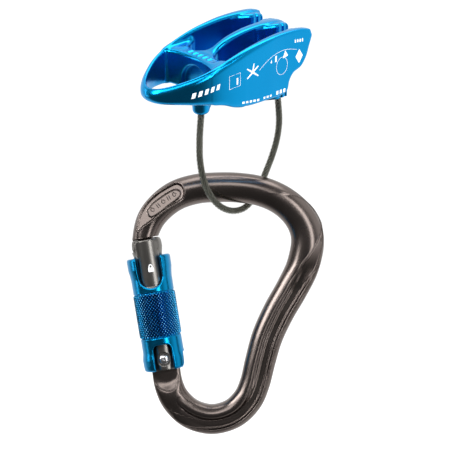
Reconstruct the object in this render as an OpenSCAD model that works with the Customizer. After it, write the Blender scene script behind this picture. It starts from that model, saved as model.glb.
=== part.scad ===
// Belay set: a tube-style belay device with a keeper cable, carrying a pear-shaped
// locking carabiner with a sprung gate and a lift-and-twist locking sleeve.
// +Z is up, the carabiner lies in an XZ plane, and the origin is in the device's front eye.

/* [Belay device] */
// Width over the two outer plates
device_w = 34; // [32:0.5:37]
// Thickness of each outer plate
plate_t = 3.4; // [2.8:0.1:3.6]
// Thickness of the wall between the rope slots
mid_wall_t = 4; // [3:0.1:4.4]
// Length of the cross bridge along the device
bridge_l = 7.5; // [6:0.5:8]
// Outer diameter of the two cable bosses
boss_d = 7.2; // [6.4:0.1:8]

/* [Keeper cable] */
// Outside diameter over the clear coat
cable_d = 3.2; // [2.8:0.1:3.4]
// Diameter of the bare wire rope
core_d = 2.6; // [2:0.1:2.6]
// Gap between a cable end and the face of its boss
cable_gap = 0.5; // [0.5:0.1:0.8]

/* [Carabiner frame] */
// Thickness of the tang that the gate turns on
tang_t = 6; // [5:0.1:6]
// Thickness of the nose tongue
tongue_t = 4.6; // [3.6:0.1:4.6]

/* [Gate] */
// Radius of the gate's turned barrel
barrel_r = 5.5; // [5.3:0.05:5.5]
// Width of the raised panels on the gate's front and back
panel_w = 9.2; // [8:0.1:9.2]
// Radius of the rivet's shank
rivet_r = 1.6; // [1.3:0.05:1.6]
// Radius of the bore that holds the gate spring
spring_bore_r = 2.4; // [2.2:0.05:2.5]

/* [Locking sleeve] */
// Inner radius of the sleeve
sleeve_bore_r = 7.2; // [7.2:0.05:7.4]
// Top edge of the sleeve, measured up from the rivet
sleeve_z1 = 42.9; // [42:0.1:42.9]
// Width of the two slots in the sleeve's top
top_slot_w = 9.8; // [9.4:0.1:10]
// Width of the slots in the sleeve's skirt
skirt_slot_w = 7.4; // [7:0.1:7.8]
// Upward travel of the sleeve
lift = 3; // [2:0.1:3]

/* [Hidden] */
$fn = 48;
eps = 0.01;
turn = 360;

// Turn of the device about the vertical, and tilt of its top towards the front
device_yaw = 39.5;
device_tilt = 26.5;
// Where the carabiner's plane and the gate's rivet stand, and the lean of the gate's axis
carabiner_at = [22, 49, -55];
rivet_at = [-25.2, 0, -55.5];
gate_lean = 9.2;

// Side outline of the plates: along the device, then up
rim_line = [[-12.6, -1.6], [-6, 0.9], [6, 5], [22, 10.1], [35, 12.8], [45, 13.8], [54, 13.4], [58.6, 12]];
keel_line = [[59.6, 10], [58, 5.5], [56.6, 1.6], [54, -1.8], [50, -3.6], [48, -6.4], [47, -10], [44, -11.5],
             [36, -11.8], [27, -11.9], [20, -10.8], [13, -8.3], [0, -6.2], [-9, -5.4], [-12.6, -3.8]];
// Half of the plan outline: along the device, then out
plan_line = [[-10.8, 0], [-10.2, 3], [-8.5, 6.1], [-5.2, 9.4], [-1.4, 12.1], [3, 14.3], [8.5, 16], [15, 16.8],
             [60, 17]];
eye_line = [[-8.3, 0], [-7.8, 2.4], [-6.3, 5], [-3.4, 7.9], [0.2, 10.3], [4.6, 12.2], [11, 13.4]];
// Top of the middle wall
mid_rim_line = [[17, 6.4], [22, 7.4], [28, 10.4], [36, 12.6], [45, 13.7], [54, 13.4], [57.6, 12.4]];
bridge_x = 11;
bridge_z = 7.6;
arch_r = 8;
arch_z = -5;
arch_l = 4.6;
slot_x0 = bridge_x + bridge_l;
end_bar_x0 = 50.5;
end_bar_x1 = 58;
end_bar_z = 4.5;
groove_w = 5;
device_z0 = -20;
device_h = 40;
front_boss = [16.3, -17.3];
rear_boss = [54.5, -8];
boss_len = 12;
ferrule_r = 2;
ferrule_l = 7;

// Route of the keeper cable in the device's own axes, millimetres
cable_route = [[16.3, 0, -17.8], [15.8, 0, -23], [15.4, 0, -29], [15.5, 0, -37], [17, 0, -45.5],
               [20.2, 0, -53.6], [25.4, 0, -60.6], [32.2, 0.4, -65.2], [39.6, 1.4, -66.8], [46, 2.8, -65],
               [50.8, 3.8, -60.8], [54, 3.8, -55], [56.2, 2.6, -48], [57.4, 1, -40], [57.6, 0, -32],
               [57, 0, -24], [55.8, 0, -16], [54.5, 0, -8.5]];

// Centre line of the frame from the tang round to the nose:
// across, up, width in the plane, depth through it
frame_line = [[-23.4, -66.4, 12, 8], [-20.2, -73.2, 12.3, 10], [-14, -78.7, 12.5, 11], [-5.4, -80.9, 12.5, 11],
              [3.2, -78.6, 12.5, 11], [9.2, -73, 12.6, 11], [12.4, -66, 12.6, 11], [14.8, -56.3, 12.8, 11],
              [17.7, -46.3, 13, 11], [22.3, -36.3, 13.2, 11], [28, -26.3, 13.4, 11], [32.4, -17, 13.7, 11.4],
              [34.4, -7, 13.8, 12], [32.8, 0.2, 13.4, 12.2], [28.4, 6.4, 12.9, 12.4], [22, 11.2, 12.6, 12.5],
              [14, 14.3, 12.5, 12.5], [5, 15.6, 12.5, 12.5], [-4, 15.7, 12.5, 12.5], [-12, 15, 12.5, 12.5],
              [-20, 12.5, 12.5, 12.2], [-26.5, 7.9, 12.2, 12], [-31, 1.8, 11.8, 11.5], [-33.2, -4.6, 11.4, 11]];

// Heights on the gate, measured up from the rivet
gate_h = 50.5;
sleeve_z0 = -4.5;
tang_top = 4.4;
clevis_top = 7;
clevis_gap = 0.2;
clip_z = 8.2;
clip_h = 1;
ring_z = 9.3;
ring_h = 2.2;
seat_z = 28.4;
panel_z = 30.2;
shoulder_z = 42.5;
nose_gap = 0.3;
tongue_z = sleeve_z1 + lift + nose_gap;
nose_slot_z = tongue_z - 0.7;
top_slot_z = 34.8;

// A smooth curve through the points p, with n steps between each pair
function at(p, i) = p[max(0, min(len(p) - 1, i))];
function blend_at(p, i, t) =
    let (a = at(p, i - 1), b = at(p, i), c = at(p, i + 1), d = at(p, i + 2))
    0.5 * (2 * b + (c - a) * t + (2 * a - 5 * b + 4 * c - d) * t * t + (3 * b - a - 3 * c + d) * t * t * t);
function smooth(p, n) = [for (i = [0 : len(p) - 2], k = [0 : n - 1]) blend_at(p, i, k / n), p[len(p) - 1]];
function reversed(p) = [for (i = [len(p) - 1 : -1 : 0]) p[i]];
function unit(v) = v / norm(v);
function lengthened(p, d) =
    let (last = len(p) - 1)
    concat([p[0] - d * heading(p, 0)], p, [p[last] + d * heading(p, last)]);
function heading(p, i) = unit(at(p, i + 1) - at(p, i - 1));

// Joins equal rings of points into one closed solid
module skin(rings) {
    n = len(rings[0]);
    last = len(rings) - 1;
    polyhedron(
        points = [for (ring = rings, q = ring) q],
        faces = concat(
            [[for (k = [0 : n - 1]) k]],
            [for (i = [0 : last - 1], k = [0 : n - 1])
                let (a = i * n + k, b = i * n + (k + 1) % n) [a, b + n, b]],
            [for (i = [0 : last - 1], k = [0 : n - 1])
                let (a = i * n + k, b = i * n + (k + 1) % n) [a, a + n, b + n]],
            [[for (k = [n - 1 : -1 : 0]) last * n + k]]));
}

// A round bar of radius r that follows the points p
function bar_ring(p, i, r, sides) =
    let (t = heading(p, i), a = unit(cross(t, [0, 1, 0.001])), b = cross(t, a))
    [for (k = [0 : sides - 1]) p[i] + r * (cos(turn * k / sides) * a + sin(turn * k / sides) * b)];
module bar_along(p, r, sides = 8) skin([for (i = [0 : len(p) - 1]) bar_ring(p, i, r, sides)]);

// A coil spring standing on z0
module coil(r, wire, z0, z1, turns, steps = 14) {
    n = turns * steps;
    bar_along([for (i = [0 : n]) [r * cos(turn * i / steps), r * sin(turn * i / steps),
                                  z0 + wire / 2 + (z1 - z0 - wire) * i / n]], wire / 2, 6);
}

module in_device() rotate([device_tilt, 0, 0]) rotate([0, 0, device_yaw]) children();
module in_gate() translate(carabiner_at + rivet_at) rotate([0, -gate_lean, 0]) children();

// Prism with the side outline p, from y0 to y1
module side_prism(p, y0, y1) translate([0, y1, 0]) rotate([90, 0, 0]) linear_extrude(y1 - y0) polygon(p);
// Prism with the half plan outline p mirrored about the device's middle
module plan_prism(p)
    translate([0, 0, device_z0]) linear_extrude(device_h)
        polygon(concat(p, [for (q = reversed(p)) [q[0], -q[1]]]));

module device_outside() intersection() {
    side_prism(concat(smooth(rim_line, 3), smooth(keel_line, 2)), -device_w / 2, device_w / 2);
    plan_prism(smooth(plan_line, 3));
}
module rope_slot(side) {
    inner = mid_wall_t / 2;
    outer = device_w / 2 - plate_t;
    mid = side * (inner + outer) / 2;
    width = outer - inner;
    for (x = [slot_x0 + width / 2, end_bar_x0 - width / 2])
        translate([x, mid, device_z0]) cylinder(d = width, h = device_h);
    translate([slot_x0 + width / 2, mid - width / 2, device_z0])
        cube([end_bar_x0 - slot_x0 - width, width, device_h]);
    // The narrow friction groove above the end bar
    translate([0, mid, end_bar_z]) linear_extrude(device_h)
        polygon([[end_bar_x0 - width / 2, -width / 2], [end_bar_x1 + 3, -groove_w / 2],
                 [end_bar_x1 + 3, groove_w / 2], [end_bar_x0 - width / 2, width / 2]]);
}
module device_body() color("deepskyblue") in_device() difference() {
    union() {
        difference() {
            device_outside();
            // The front eye
            plan_prism(smooth(eye_line, 3));
            for (side = [-1, 1]) rope_slot(side);
            // The bridge and the middle wall stand lower than the rims
            translate([0, 0, bridge_z])
                linear_extrude(device_h) polygon([[bridge_x - 1, -12.4], [slot_x0 + 3, -13], [slot_x0 + 3, 13],
                                                  [bridge_x - 1, 12.4]]);
            side_prism(concat(smooth(mid_rim_line, 2), [[62, 12], [62, 30], [17, 30]]),
                       -mid_wall_t / 2 - 0.4, mid_wall_t / 2 + 0.4);
            // The arch under the bridge
            translate([bridge_x - 1, 0, arch_z]) rotate([0, 90, 0]) cylinder(r = arch_r, h = arch_l);
            translate([bridge_x - 1, -arch_r, device_z0]) cube([arch_l, 2 * arch_r, arch_z - device_z0]);
        }
        for (b = [front_boss, rear_boss]) translate([b[0], 0, b[1]]) cylinder(d = boss_d, h = boss_len);
    }
    for (b = [front_boss, rear_boss]) translate([b[0], 0, b[1] - 1]) cylinder(r = ferrule_r, h = ferrule_l + 1);
}
module ferrule(b) in_device() translate([b[0], 0, b[1] + 0.4]) cylinder(r = ferrule_r, h = ferrule_l - 0.4);
module front_ferrule() color("dimgray") ferrule(front_boss);
module rear_ferrule() color("dimgray") ferrule(rear_boss);

module cable_core() color("slategray") in_device() bar_along(smooth(cable_route, 2), core_d / 2 - eps);
module cable_jacket() color("darkolivegreen") in_device() difference() {
    bar_along(smooth(cable_route, 2), cable_d / 2);
    bar_along(lengthened(smooth(cable_route, 2), 2), core_d / 2);
}

// One elliptical ring of the frame
function frame_ring(p, i, sides) =
    let (q = p[i], t = unit([at(p, i + 1)[0] - at(p, i - 1)[0], 0, at(p, i + 1)[1] - at(p, i - 1)[1]]),
         n = cross([0, 1, 0], t))
    [for (k = [0 : sides - 1])
        let (c = cos(turn * k / sides), s = sin(turn * k / sides))
        [q[0], 0, q[1]] + q[2] / 2 * c * n + [0, q[3] / 2 * s, 0]];
module frame() color("dimgray") {
    difference() {
        union() {
            difference() {
                translate(carabiner_at)
                    skin([for (p = [smooth(frame_line, 3)], i = [0 : len(p) - 1]) frame_ring(p, i, 20)]);
                // The flat face under the nose, just clear of the gate's top
                in_gate() translate([-9, -9, nose_slot_z]) cube([18, 18, gate_h + nose_gap - nose_slot_z]);
            }
            in_gate() {
                side_prism([[-5.6, -14], [5.8, -14], [5.8, 1.5], [4.5, tang_top], [-4.5, tang_top],
                            [-5.8, 1.5], [-5.8, -8]], -tang_t / 2, tang_t / 2);
                side_prism([[-5.2, tongue_z], [3.3, tongue_z], [3.6, tongue_z + 8], [-5, tongue_z + 8]],
                           -tongue_t / 2, tongue_t / 2);
            }
        }
        in_gate() rotate([90, 0, 0]) cylinder(r = rivet_r + 0.05, h = 20, center = true);
    }
}

module gate_barrel() color("gray") in_gate() difference() {
    union() {
        translate([0, 0, sleeve_z0 - 0.1]) cylinder(r = barrel_r, h = shoulder_z - sleeve_z0);
        translate([0, 0, seat_z]) cylinder(r = sleeve_bore_r - 0.3, h = 1.8);
        intersection() {
            translate([0, 0, panel_z - 0.4]) cylinder(r = 6.4, h = gate_h - panel_z - 0.8);
            translate([-panel_w / 2, -10, panel_z - 1]) cube([panel_w, 20, gate_h]);
        }
        intersection() {
            rotate_extrude() polygon([[0, shoulder_z - 2], [5.6, shoulder_z - 2], [6.6, shoulder_z + 4.5],
                                      [6.5, gate_h - 1.6], [5.6, gate_h - 0.4], [4.6, gate_h], [0, gate_h]]);
            translate([-10, -4.7, 0]) cube([20, 9.4, 60]);
        }
    }
    // The clevis round the tang
    translate([-10, -tang_t / 2 - clevis_gap, -10]) cube([20, tang_t + 2 * clevis_gap, 10 + clevis_top]);
    // The slot that the nose tongue sits in, closed on the inner side
    translate([-10, -tongue_t / 2 - 0.4, nose_slot_z]) cube([14.1, tongue_t + 0.8, 10]);
    rotate([90, 0, 0]) cylinder(r = rivet_r, h = 20, center = true);
    // Seats for the rivet's heads
    for (side = [-1, 1]) rotate([90, 0, 0]) translate([0, 0, side > 0 ? barrel_r - 0.6 : -barrel_r - 2 + 0.6])
        cylinder(r = 2.6, h = 2);
    // Bore of the gate spring, groove of the retaining ring and keyway of the guide pin
    translate([0, 0, clevis_top - 1]) cylinder(r = spring_bore_r, h = seat_z - clevis_top);
    translate([0, 0, clip_z]) difference() {
        cylinder(r = barrel_r + 1, h = clip_h);
        translate([0, 0, -1]) cylinder(r = barrel_r - 0.4, h = clip_h + 2);
    }
    translate([barrel_r - 1.6, -1, ring_z]) cube([3, 2, ring_h + lift]);
}
module hinge_rivet() color("silver") in_gate() rotate([90, 0, 0]) {
    cylinder(r = rivet_r, h = 2 * (barrel_r - 0.6), center = true);
    for (side = [0, 1]) mirror([0, 0, side]) translate([0, 0, barrel_r - 0.6]) intersection() {
        cylinder(r = 2.1, h = 1.4);
        translate([0, 0, -1.2]) sphere(r = 2.5);
    }
}
module gate_plunger() color("silver") in_gate()
    translate([0, 0, tang_top + 0.15]) cylinder(r = spring_bore_r - 0.05, h = 6);
module gate_spring() color("lightgray") in_gate() coil(1.8, 0.5, tang_top + 6.2, seat_z - 1.1, 12, 10);
module guide_ring() color("gold") in_gate() translate([0, 0, ring_z]) difference() {
    cylinder(r = sleeve_bore_r + 0.25, h = ring_h);
    translate([0, 0, -1]) cylinder(r = barrel_r + 0.05, h = ring_h + 2);
    translate([barrel_r - 2, 0, ring_h / 2]) rotate([0, 90, 0]) cylinder(r = 0.8, h = 3.6);
}
module guide_pin() color("silver") in_gate()
    translate([barrel_r - 1.3, 0, ring_z + ring_h / 2]) rotate([0, 90, 0]) cylinder(r = 0.8, h = 2.9);
module retaining_ring() color("silver") in_gate() translate([0, 0, clip_z])
    rotate([0, 0, 15]) rotate_extrude(angle = 330) translate([barrel_r - 0.4, 0.05]) square([1.5, clip_h - 0.1]);
module sleeve_spring() color("lightgray") in_gate() coil(6.35, 1, ring_z + ring_h, seat_z, 6, 20);

module skirt_slot(w, top, deep) {
    translate([-w / 2, 0, sleeve_z0 - 1]) cube([w, deep, top - sleeve_z0 - 1]);
    translate([-w / 2 + 2, 0, sleeve_z0 - 1]) cube([w - 4, deep, top - sleeve_z0 + 1]);
    for (x = [-w / 2 + 2, w / 2 - 2]) translate([x, 0, top - 2]) rotate([-90, 0, 0]) cylinder(r = 2, h = deep);
}
module lock_sleeve() color("dodgerblue") in_gate() difference() {
    rotate_extrude() polygon([[sleeve_bore_r, sleeve_z0], [8.1, sleeve_z0], [8.9, sleeve_z0 + 0.9], [9.05, 0.5],
                              [8.55, 3], [8.5, 8.6], [8.9, 9.2], [8.9, 27.8], [8.5, 28.4], [8.55, 34], [9.1, 38],
                              [9.15, sleeve_z1 - 0.8], [8.7, sleeve_z1], [sleeve_bore_r, sleeve_z1],
                              [sleeve_bore_r, ring_z + ring_h + 0.05], [sleeve_bore_r + 0.3, ring_z + ring_h + 0.05],
                              [sleeve_bore_r + 0.3, ring_z - 0.05], [sleeve_bore_r, ring_z - 0.05]]);
    for (side = [0, 180]) rotate([0, 0, side]) {
        translate([0, 0, top_slot_z]) rotate([-90, 0, 0]) cylinder(d = top_slot_w, h = 12);
        translate([-top_slot_w / 2, 0, top_slot_z]) cube([top_slot_w, 12, 12]);
        skirt_slot(skirt_slot_w, 6.2, 12);
    }
    // Relief on the inner side, where the skirt passes the tang as the gate opens
    rotate([0, 0, -90]) skirt_slot(skirt_slot_w, 1.6, 12);
}

device_body();
front_ferrule();
rear_ferrule();
cable_core();
cable_jacket();
frame();
gate_barrel();
hinge_rivet();
gate_spring();
gate_plunger();
guide_ring();
guide_pin();
retaining_ring();
sleeve_spring();
lock_sleeve();
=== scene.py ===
# The looks of the belay set: a tube device with its keeper cable, and a locking carabiner.
# Shapes are worked out in millimetres, in the axes of the piece they belong to.
import math
from functools import reduce

import bpy
import numpy as np
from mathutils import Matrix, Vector
from mathutils.bvhtree import BVHTree


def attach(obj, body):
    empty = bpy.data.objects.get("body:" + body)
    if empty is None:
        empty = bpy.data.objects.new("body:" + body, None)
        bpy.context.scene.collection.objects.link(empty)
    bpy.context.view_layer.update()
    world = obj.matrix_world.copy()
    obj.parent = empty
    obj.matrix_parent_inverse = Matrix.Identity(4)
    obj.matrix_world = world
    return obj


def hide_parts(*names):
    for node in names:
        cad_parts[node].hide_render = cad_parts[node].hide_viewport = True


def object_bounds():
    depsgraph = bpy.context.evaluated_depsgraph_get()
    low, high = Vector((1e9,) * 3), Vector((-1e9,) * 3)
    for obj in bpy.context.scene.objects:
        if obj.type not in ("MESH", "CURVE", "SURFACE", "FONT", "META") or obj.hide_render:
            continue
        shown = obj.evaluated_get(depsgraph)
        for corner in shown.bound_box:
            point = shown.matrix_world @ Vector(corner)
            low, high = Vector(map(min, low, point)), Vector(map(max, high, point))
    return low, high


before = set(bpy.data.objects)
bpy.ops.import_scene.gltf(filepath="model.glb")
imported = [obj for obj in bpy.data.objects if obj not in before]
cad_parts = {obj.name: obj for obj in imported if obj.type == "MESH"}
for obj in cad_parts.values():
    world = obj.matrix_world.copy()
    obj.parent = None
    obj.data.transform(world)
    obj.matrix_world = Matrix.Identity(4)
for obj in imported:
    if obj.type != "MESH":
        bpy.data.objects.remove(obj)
CAD_BOX = [list(corner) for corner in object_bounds()]
MM = 0.001


# ---------------- axes
def rotation(axis, degrees):
    """The matrix of a turn about one axis."""
    c = math.cos(math.radians(degrees))
    s = math.sin(math.radians(degrees))
    turns = {
        "X": [[1, 0, 0], [0, c, -s], [0, s, c]],
        "Y": [[c, 0, s], [0, 1, 0], [-s, 0, c]],
        "Z": [[c, -s, 0], [s, c, 0], [0, 0, 1]],
    }
    return np.array(turns[axis])


CARABINER_AT = np.array([22.0, 49.0, -55.0])
RIVET_AT = CARABINER_AT + np.array([-25.2, 0.0, -55.5])
DEVICE = (rotation("X", 26.5) @ rotation("Z", 39.5), np.zeros(3))
CARABINER = (np.eye(3), CARABINER_AT)
GATE = (rotation("Y", -9.2), RIVET_AT)


def to_row(points, axes):
    """Points in a piece's own axes, turned and moved into the shared frame."""
    turn, at = axes
    return np.asarray(points, float) @ turn.T + at


def placed(name, data):
    """A new object in the scene."""
    made = bpy.data.objects.new(name, data)
    bpy.context.scene.collection.objects.link(made)
    return made


# ---------------- camera
def make_camera():
    """Level with the set and far enough back for little perspective."""
    data = bpy.data.cameras.new("camera")
    data.sensor_width = 36
    data.lens = 115.2
    data.clip_start = 0.01
    data.clip_end = 30
    camera = placed("camera", data)
    camera.location = (0.022, -0.551, -0.055)
    camera.rotation_euler = (math.radians(90), 0, 0)
    bpy.context.scene.camera = camera


make_camera()


# ---------------- curves and fields
def curve_at(a, b, c, d, t):
    """A place on the Catmull-Rom curve from b to c, and which way it goes there."""
    square = 2 * a - 5 * b + 4 * c - d
    cube = 3 * b - a - 3 * c + d
    at = 0.5 * (2 * b + (c - a) * t + square * t ** 2 + cube * t ** 3)
    return at, 0.5 * (c - a + 2 * square * t + 3 * cube * t ** 2)


def smooth(points, steps):
    """A Catmull-Rom curve through the points, with steps parts between each pair."""
    p = np.asarray(points, float)
    p = np.vstack([p[0], p, p[-1]])
    t = (np.arange(steps) / steps)[:, None]
    parts = [curve_at(*p[i - 1:i + 3], t)[0] for i in range(1, len(p) - 2)]
    return np.vstack([*parts, p[-2]])


def step(x, low, high):
    """Rises smoothly from 0 at low to 1 at high."""
    t = np.clip((x - low) / (high - low), 0, 1)
    return t * t * (3 - 2 * t)


def outline_distance(u, v, outline):
    """Distance to a closed outline, negative inside it."""
    best = np.full(np.broadcast(u, v).shape, 1e9)
    inside = np.zeros(best.shape, bool)
    ends = np.roll(outline, -1, axis=0)
    for (ax, ay), (bx, by) in zip(outline, ends):
        ex, ey = bx - ax, by - ay
        size = ex * ex + ey * ey
        if size < 1e-12:
            continue
        along = np.clip(((u - ax) * ex + (v - ay) * ey) / size, 0, 1)
        best = np.minimum(best, np.hypot(u - ax - along * ex, v - ay - along * ey))
        if ay != by:
            crosses = ((ay > v) != (by > v)) & (u < ex * (v - ay) / ey + ax)
            inside ^= crosses
    return np.where(inside, -best, best)


def within(*parts):
    """What is in all the parts, with sharp edges."""
    return reduce(np.maximum, parts)


def round_and(a, b, r):
    """What is in both a and b, with its edges rounded to radius r."""
    return np.minimum(-r, np.maximum(a, b)) + np.hypot(np.maximum(r + a, 0), np.maximum(r + b, 0))


def round_or(a, b, r):
    """What is in a or b, with fillets of radius r."""
    return np.maximum(r, np.minimum(a, b)) - np.hypot(np.maximum(r - a, 0), np.maximum(r - b, 0))


def grid(low, high, cell):
    """Open coordinate arrays over a box."""
    x, y, z = (np.arange(a, b + cell, cell) for a, b in zip(low, high))
    return x[:, None, None], y[None, :, None], z[None, None, :]


def sample(values, where):
    """Values between the grid's points."""
    top = np.array(values.shape) - 1.001
    p = np.clip(where, 0, top)
    i = p.astype(int)
    f = p - i
    total = 0
    for corner in np.ndindex(2, 2, 2):
        c = np.array(corner)
        weight = np.prod(np.where(c, f, 1 - f), axis=1)
        j = i + c
        total = total + weight * values[j[:, 0], j[:, 1], j[:, 2]]
    return total


def skin_of(field, low, cell):
    """Points, quads and normals of the surface where the field is zero."""
    field = field.astype(np.float32)
    inside = field < 0
    m, n, o = np.array(inside.shape) - 1
    corners = [inside[a:m + a, b:n + b, c:o + c].astype(np.int8) for a, b, c in np.ndindex(2, 2, 2)]
    counts = sum(corners)
    cells = np.argwhere((counts > 0) & (counts < 8))
    number = np.full(counts.shape, -1, np.int64)
    number[tuple(cells.T)] = np.arange(len(cells))
    total = np.zeros((len(cells), 3))
    hits = np.zeros(len(cells))
    for axis in range(3):
        for a, b in np.ndindex(2, 2):
            start = np.insert(np.array([a, b]), axis, 0)
            end = start.copy()
            end[axis] = 1
            f0 = field[tuple((cells + start).T)]
            f1 = field[tuple((cells + end).T)]
            cut = (f0 < 0) != (f1 < 0)
            t = f0[cut] / (f0[cut] - f1[cut])
            point = np.repeat(start[None, :].astype(float), cut.sum(), axis=0)
            point[:, axis] = t
            total[cut] += point
            hits[cut] += 1
    where = cells + total / hits[:, None]
    slopes = np.gradient(field)
    for _ in range(2):
        g = np.stack([sample(s, where) for s in slopes], axis=1)
        f = sample(field, where)
        move = -(f / np.maximum((g * g).sum(1), 1e-9))[:, None] * g
        where = where + np.clip(move, -0.4, 0.4)
    g = np.stack([sample(s, where) for s in slopes], axis=1)
    normals = g / np.maximum(np.linalg.norm(g, axis=1), 1e-9)[:, None]
    quads = []
    for axis in range(3):
        lower = [slice(0, -1) if k == axis else slice(1, -1) for k in range(3)]
        upper = [slice(1, None) if k == axis else slice(1, -1) for k in range(3)]
        f0 = inside[tuple(lower)]
        f1 = inside[tuple(upper)]
        others = [k for k in range(3) if k != axis]
        for way in (True, False):
            at = np.argwhere((f0 != f1) & (f0 == way))
            if not len(at):
                continue
            shift = np.array([0 if k == axis else 1 for k in range(3)])
            base = at + shift
            ring = []
            for a, b in ((0, 0), (1, 0), (1, 1), (0, 1)):
                c = base.copy()
                c[:, others[0]] -= a
                c[:, others[1]] -= b
                ring.append(number[tuple(c.T)])
            quad = np.stack(ring, axis=1)
            flip = way == (axis == 1)
            quads.append(quad[:, ::-1] if flip else quad)
    faces = np.vstack(quads)
    faces = faces[(faces >= 0).all(axis=1)]
    return np.asarray(low) + where * cell, faces, normals


# ---------------- meshes
def make_mesh(name, points, faces, axes, normals=None):
    """A mesh object in the row frame, in metres, from points in millimetres."""
    turn = axes[0]
    mesh = bpy.data.meshes.new(name)
    mesh.from_pydata((to_row(points, axes) * MM).tolist(), [], [list(map(int, f)) for f in faces])
    mesh.update()
    mesh.shade_smooth()
    if normals is not None:
        mesh.normals_split_custom_set_from_vertices((normals @ turn.T).tolist())
    return placed(name, mesh)


def ring_faces(rings, sides, closed=False, caps=True):
    """Quads between equal rings of points, with flat caps on the two ends."""
    i = np.arange(rings if closed else rings - 1)[:, None]
    k = np.arange(sides)[None, :]
    a = i * sides + k
    b = i * sides + (k + 1) % sides
    c = ((i + 1) % rings) * sides + (k + 1) % sides
    d = ((i + 1) % rings) * sides + k
    faces = np.stack([a, b, c, d], axis=2).reshape(-1, 4).tolist()
    if caps and not closed:
        faces.append(list(range(sides - 1, -1, -1)))
        faces.append([(rings - 1) * sides + k for k in range(sides)])
    return faces


def tube(path, radius, sides):
    """Points of a round tube that follows the path without twisting."""
    path = np.asarray(path, float)
    heading = np.gradient(path, axis=0)
    heading /= np.linalg.norm(heading, axis=1)[:, None]
    side = np.cross(heading[0], [0, 1, 0.001])
    frames = []
    for t in heading:
        side = side - t * (side @ t)
        side /= np.linalg.norm(side)
        frames.append((side, np.cross(t, side)))
    a = np.array([f[0] for f in frames])[:, None, :]
    b = np.array([f[1] for f in frames])[:, None, :]
    angle = (np.arange(sides) * 2 * math.pi / sides)[None, :, None]
    size = np.broadcast_to(radius, len(path))[:, None, None]
    points = path[:, None, :] + size * (np.cos(angle) * a + np.sin(angle) * b)
    return points.reshape(-1, 3), a[:, 0], b[:, 0]


def joined(parts):
    """The points and faces of several shapes as one list each."""
    points = []
    faces = []
    first = 0
    for part_points, part_faces in parts:
        points.append(part_points)
        faces += [[first + k for k in face] for face in part_faces]
        first += len(part_points)
    return np.vstack(points), faces


def on_both_faces(points, faces):
    """A shape on the front and its mirror image on the back."""
    return [(points, faces), (points * [1, -1, 1], [face[::-1] for face in faces])]


def flat_shaded(piece):
    """Gives a piece facets with sharp edges."""
    for polygon in piece.data.polygons:
        polygon.use_smooth = False
    return piece


def carved(name, field, low, high, cell, axes):
    """A mesh of the solid whose distance field is given, inside a box."""
    points, faces, normals = skin_of(field(*grid(low, high, cell)), low, cell)
    return make_mesh(name, points, faces, axes, normals)


def lathe(profile, sides):
    """Points and faces of a turned solid about Z, from a closed profile of (radius, height)."""
    profile = np.asarray(profile, float)
    angle = (np.arange(sides) * 2 * math.pi / sides)[:, None]
    x = np.cos(angle) * profile[None, :, 0]
    y = np.sin(angle) * profile[None, :, 0]
    z = np.broadcast_to(profile[None, :, 1], x.shape)
    points = np.stack([x, y, z], axis=2).reshape(-1, 3)
    return points, ring_faces(sides, len(profile), closed=True)


# ---------------- materials
def noise(tree, scale, detail=3.0):
    """Noise over the piece's own axes."""
    place = tree.nodes.new("ShaderNodeTexCoord")
    made = tree.nodes.new("ShaderNodeTexNoise")
    made.inputs["Scale"].default_value = scale
    made.inputs["Detail"].default_value = detail
    tree.links.new(place.outputs["Object"], made.inputs["Vector"])
    return made.outputs["Fac"]


def ramp(tree, fac, low, high):
    """A colour that goes from low to high with the noise."""
    made = tree.nodes.new("ShaderNodeValToRGB")
    for stop, place, colour in zip(made.color_ramp.elements, (0.3, 0.7), (low, high)):
        stop.position = place
        stop.color = (*colour, 1)
    tree.links.new(fac, made.inputs["Fac"])
    return made.outputs["Color"]


def spread(tree, fac, low, high, source=(0.3, 0.7), kind="LINEAR"):
    """A number that goes from low to high with another one."""
    made = tree.nodes.new("ShaderNodeMapRange")
    made.interpolation_type = kind
    made.inputs["From Min"].default_value = source[0]
    made.inputs["From Max"].default_value = source[1]
    made.inputs["To Min"].default_value = low
    made.inputs["To Max"].default_value = high
    tree.links.new(fac, made.inputs["Value"])
    return made.outputs["Result"]


def cloudy(name, scale, dark, light, rough):
    """A material whose colour and roughness vary with a cloud of noise."""
    made = bpy.data.materials.new(name)
    made.use_nodes = True
    tree = made.node_tree
    shader = tree.nodes["Principled BSDF"]
    cloud = noise(tree, scale)
    tree.links.new(ramp(tree, cloud, dark, light), shader.inputs["Base Color"])
    tree.links.new(spread(tree, cloud, *rough), shader.inputs["Roughness"])
    return made, tree, shader


def metal(name, dark, light, rough, grain, grain_scale, coat=0.0, coat_rough=0.1):
    """A metal with slight colour and gloss variation and a fine grain."""
    made, tree, shader = cloudy(name, 60.0, dark, light, rough)
    shader.inputs["Metallic"].default_value = 1.0
    shader.inputs["Coat Weight"].default_value = coat
    shader.inputs["Coat Roughness"].default_value = coat_rough
    bump = tree.nodes.new("ShaderNodeBump")
    bump.inputs["Strength"].default_value = grain
    bump.inputs["Distance"].default_value = 0.00005
    tree.links.new(noise(tree, grain_scale, 2.0), bump.inputs["Height"])
    tree.links.new(bump.outputs["Normal"], shader.inputs["Normal"])
    return made


def clear_coat():
    """The clear plastic over the wire rope, which lets most light through."""
    made, _, shader = cloudy("clear_coat", 150.0, (0.10, 0.105, 0.085), (0.14, 0.145, 0.12), (0.16, 0.28))
    shader.inputs["Alpha"].default_value = 0.15
    return made


def white_print():
    """The slightly uneven white of the printed marks."""
    return cloudy("white_print", 800.0, (0.72, 0.74, 0.76), (0.90, 0.92, 0.94), (0.45, 0.6))[0]


def pale_floor():
    """A dull pale material that barely varies."""
    made, _, shader = cloudy("pale_floor", 3.0, (0.95, 0.95, 0.955), (0.97, 0.97, 0.975), (0.85, 0.85))
    shader.inputs["Specular IOR Level"].default_value = 0.1
    return made


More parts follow.
